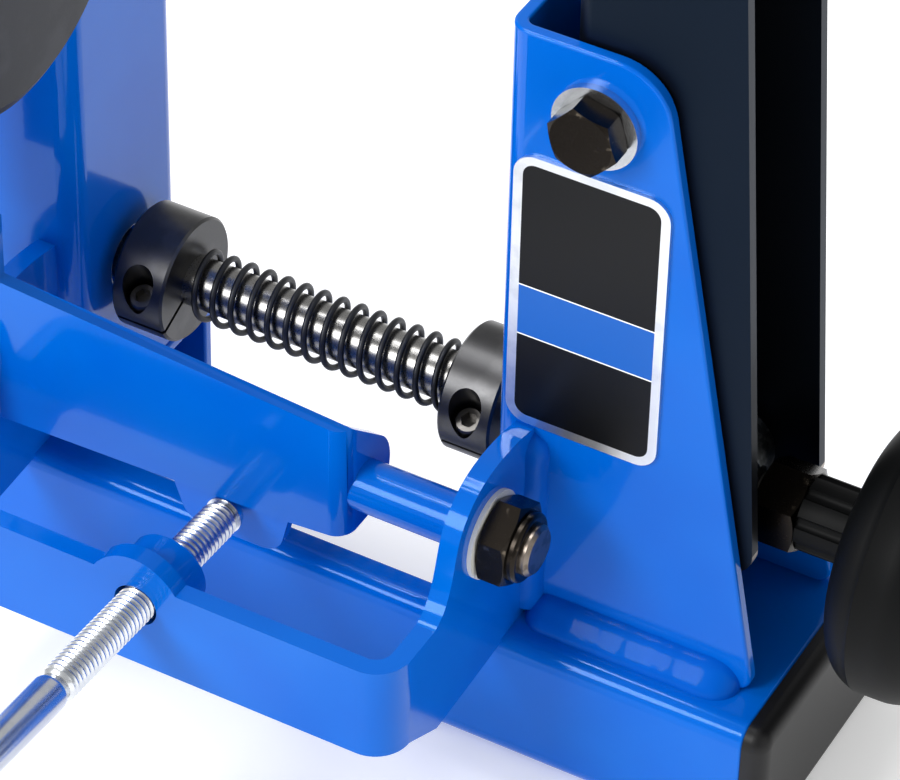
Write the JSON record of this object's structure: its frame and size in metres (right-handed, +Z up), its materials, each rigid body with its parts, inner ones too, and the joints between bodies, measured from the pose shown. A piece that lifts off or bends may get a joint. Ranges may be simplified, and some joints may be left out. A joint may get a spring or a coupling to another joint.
{
  "type": "wheel truing stand",
  "caption": "Bench stand for truing a bicycle wheel: tube base, two pivoting uprights closed by a left/right-hand screw, and a tilting caliper arm.",
  "frame": {"origin": "middle of the base's underside", "axes": "+X towards the centring knob, +Y towards the rear, +Z up"},
  "size_m": [0.308, 0.2283, 0.4431],
  "materials": {
    "blue_paint": "gloss powder coat",
    "black_coat": "matt black coat",
    "black_oxide": "black oxide",
    "zinc": "bright zinc plate",
    "bare_steel": "turned steel",
    "black_plastic": "moulded, matt",
    "nylon": "natural nylon",
    "label": "printed aluminium"
  },
  "bodies": {
    "base": {"base_tube": "blue_paint", "caliper_yoke": "blue_paint", "yoke_boss": "blue_paint", "label_plate": "label", "end_cap_right": "black_plastic", "end_cap_left": "black_plastic", "bracket_right": "blue_paint", "bracket_left": "blue_paint", "bracket_weld_right": "blue_paint", "bracket_weld_left": "blue_paint", "arm_bushing_right": "nylon", "arm_bushing_left": "nylon", "pivot_bolt_right": "black_oxide", "pivot_bolt_left": "black_oxide", "washer_front_right": "zinc", "washer_front_left": "zinc", "washer_rear_right": "zinc", "washer_rear_left": "zinc", "pivot_nut_right": "black_oxide", "pivot_nut_left": "black_oxide"},
    "centering_screw": {"centering_shaft": "bare_steel", "collar_right": "black_oxide", "collar_left": "black_oxide", "collar_screw_right": "black_oxide", "collar_screw_left": "black_oxide", "centering_spring": "black_oxide", "jam_nut": "black_oxide", "knob_hub": "black_plastic", "centering_knob": "black_plastic"},
    "right_upright": {"upright_right": "black_coat", "axle_plate_right": "zinc"},
    "left_upright": {"upright_left": "black_coat", "axle_plate_left": "zinc"},
    "right_nut": {"barrel_nut_right": "bare_steel"},
    "left_nut": {"barrel_nut_left": "bare_steel"},
    "caliper_arm": {"crossbar": "blue_paint", "arm_tab": "blue_paint", "arm_riser": "blue_paint", "caliper_beam": "blue_paint", "caliper_pin_left": "black_oxide", "caliper_pin_right": "black_oxide", "spindle_bushing_outer": "bare_steel", "spindle_bushing_inner": "bare_steel", "arm_stub_right": "blue_paint", "arm_stub_left": "blue_paint", "lock_nut_right": "black_oxide", "lock_nut_left": "black_oxide"},
    "left_finger": {"caliper_left": "black_coat"},
    "right_finger": {"caliper_right": "black_coat"},
    "shuttle": {"caliper_shuttle": "bare_steel"},
    "caliper_wheel": {"caliper_spindle": "zinc", "caliper_disc": "black_oxide", "spindle_collar": "black_oxide"},
    "thrust_slide": {"thrust_tip": "zinc"},
    "adjuster": {"adjusting_rod": "zinc", "rod_handle": "black_plastic"}
  },
  "joints": [
    {"name": "centering_knob_turn", "type": "hinge", "parent": "base", "child": "centering_screw", "pos_m": [0, 0, 0.0781], "axis": [-1, 0, 0], "range_deg": [-1576, 876]},
    {"name": "right_upright_tilt", "type": "hinge", "parent": "base", "child": "right_upright", "pos_m": [0.0799, 0, 0.1869], "axis": [0, -1, 0], "range_deg": [-4.5, 2.5]},
    {"name": "left_upright_tilt", "type": "hinge", "parent": "base", "child": "left_upright", "pos_m": [-0.0799, 0, 0.1869], "axis": [0, 1, 0], "range_deg": [-4.5, 2.5]},
    {"name": "right_nut_travel", "type": "slide", "parent": "base", "child": "right_nut", "axis": [1, 0, 0], "range_m": [-0.0086, 0.0048]},
    {"name": "left_nut_travel", "type": "slide", "parent": "base", "child": "left_nut", "axis": [-1, 0, 0], "range_m": [-0.0086, 0.0048]},
    {"name": "arm_tilt", "type": "hinge", "parent": "base", "child": "caliper_arm", "pos_m": [0, -0.0436, 0.0781], "axis": [1, 0, 0], "range_deg": [-4, 50]},
    {"name": "rod_travel", "type": "slide", "parent": "base", "child": "thrust_slide", "axis": [0, 0.9976, -0.0698], "range_m": [-0.00145, 0.0179]},
    {"name": "rod_turn", "type": "hinge", "parent": "thrust_slide", "child": "adjuster", "pos_m": [0, -0.089, 0.0602], "axis": [0, 0.9976, -0.0698], "range_deg": [-326, 4060]},
    {"name": "caliper_wheel_turn", "type": "hinge", "parent": "caliper_arm", "child": "caliper_wheel", "pos_m": [-0.05, -0.0527, 0.2069], "axis": [-1, 0, 0], "range_deg": [-1570, 1570]},
    {"name": "shuttle_travel", "type": "slide", "parent": "caliper_arm", "child": "shuttle", "axis": [1, 0, 0], "range_m": [-0.0044, 0.0044]},
    {"name": "left_finger_swing", "type": "hinge", "parent": "caliper_arm", "child": "left_finger", "pos_m": [-0.016, -0.058, 0.2821], "axis": [0, -1, 0], "range_deg": [-9.2, 9.2]},
    {"name": "right_finger_swing", "type": "hinge", "parent": "caliper_arm", "child": "right_finger", "pos_m": [0.016, -0.058, 0.2821], "axis": [0, 1, 0], "range_deg": [-9.2, 9.2]}
  ],
  "couplings": [
    {"joint": "left_upright_tilt", "follows": "right_upright_tilt", "ratio": 1},
    {"joint": "right_nut_travel", "follows": "right_upright_tilt", "m_per_rad": 0.1088},
    {"joint": "left_nut_travel", "follows": "right_upright_tilt", "m_per_rad": 0.1088},
    {"joint": "centering_knob_turn", "follows": "right_upright_tilt", "ratio": 349.88},
    {"joint": "rod_travel", "follows": "arm_tilt", "m_per_rad": 0.0205},
    {"joint": "rod_turn", "follows": "arm_tilt", "ratio": 81.137},
    {"joint": "shuttle_travel", "follows": "caliper_wheel_turn", "m_per_rad": 0.00015915},
    {"joint": "left_finger_swing", "follows": "caliper_wheel_turn", "ratio": 0.0056505},
    {"joint": "right_finger_swing", "follows": "caliper_wheel_turn", "ratio": 0.0056505}
  ]
}
